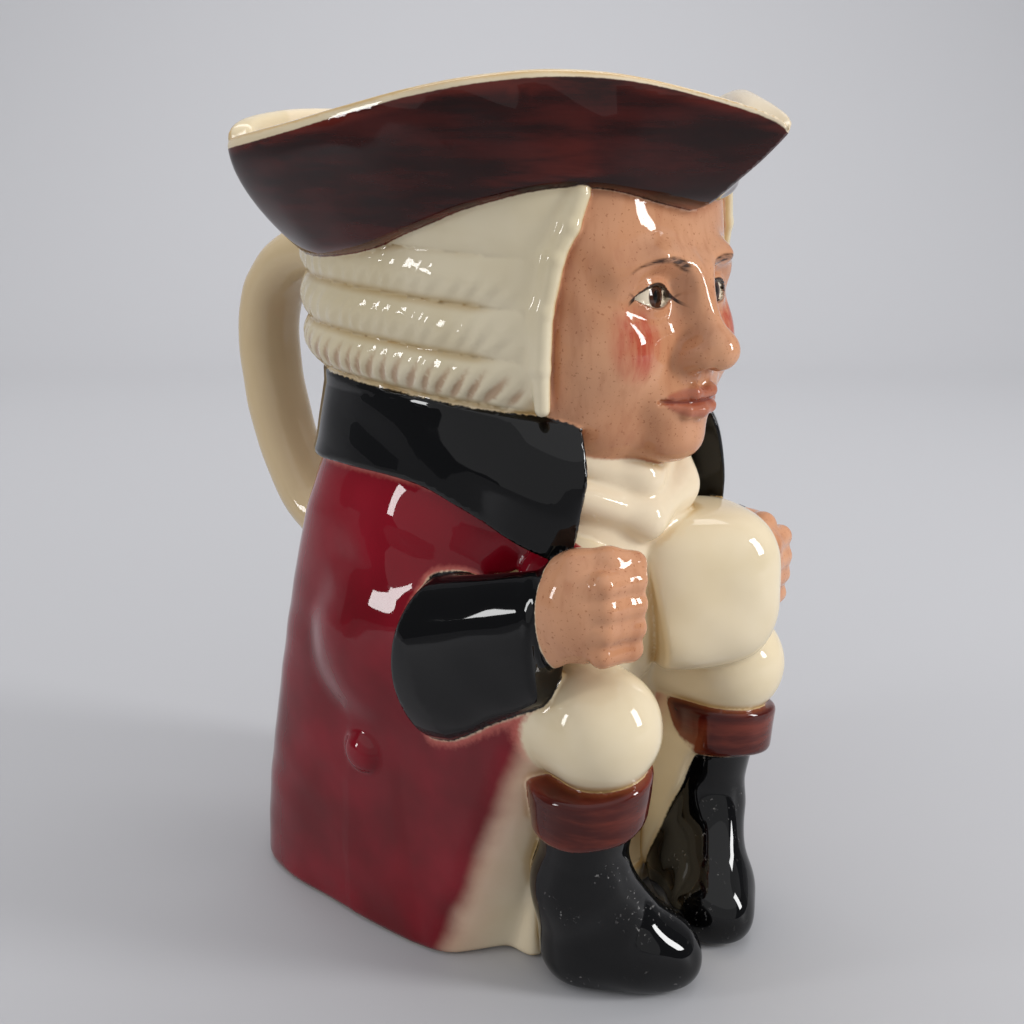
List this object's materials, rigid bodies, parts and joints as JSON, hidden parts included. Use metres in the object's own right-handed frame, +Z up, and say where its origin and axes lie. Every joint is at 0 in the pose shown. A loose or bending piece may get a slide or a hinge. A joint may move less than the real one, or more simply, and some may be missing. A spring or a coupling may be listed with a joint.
{
  "type": "toby jug",
  "caption": "Slip-cast glazed earthenware jug in the form of a seated man in a three-cornered hat, hollow and open at the hat, with a loop handle at the back.",
  "frame": {"origin": "on the table plane, under the middle of the jug's outline, handle included", "axes": "+Z up, the man faces -Y, his right side is at -X and the handle is at +Y"},
  "size_m": [0.101, 0.1664, 0.192],
  "materials": {
    "glazed_earthenware": "clear gloss glaze over hand-painted colours on a cream body"
  },
  "bodies": {
    "root": {"toby_jug": "glazed_earthenware"}
  },
  "joints": []
}
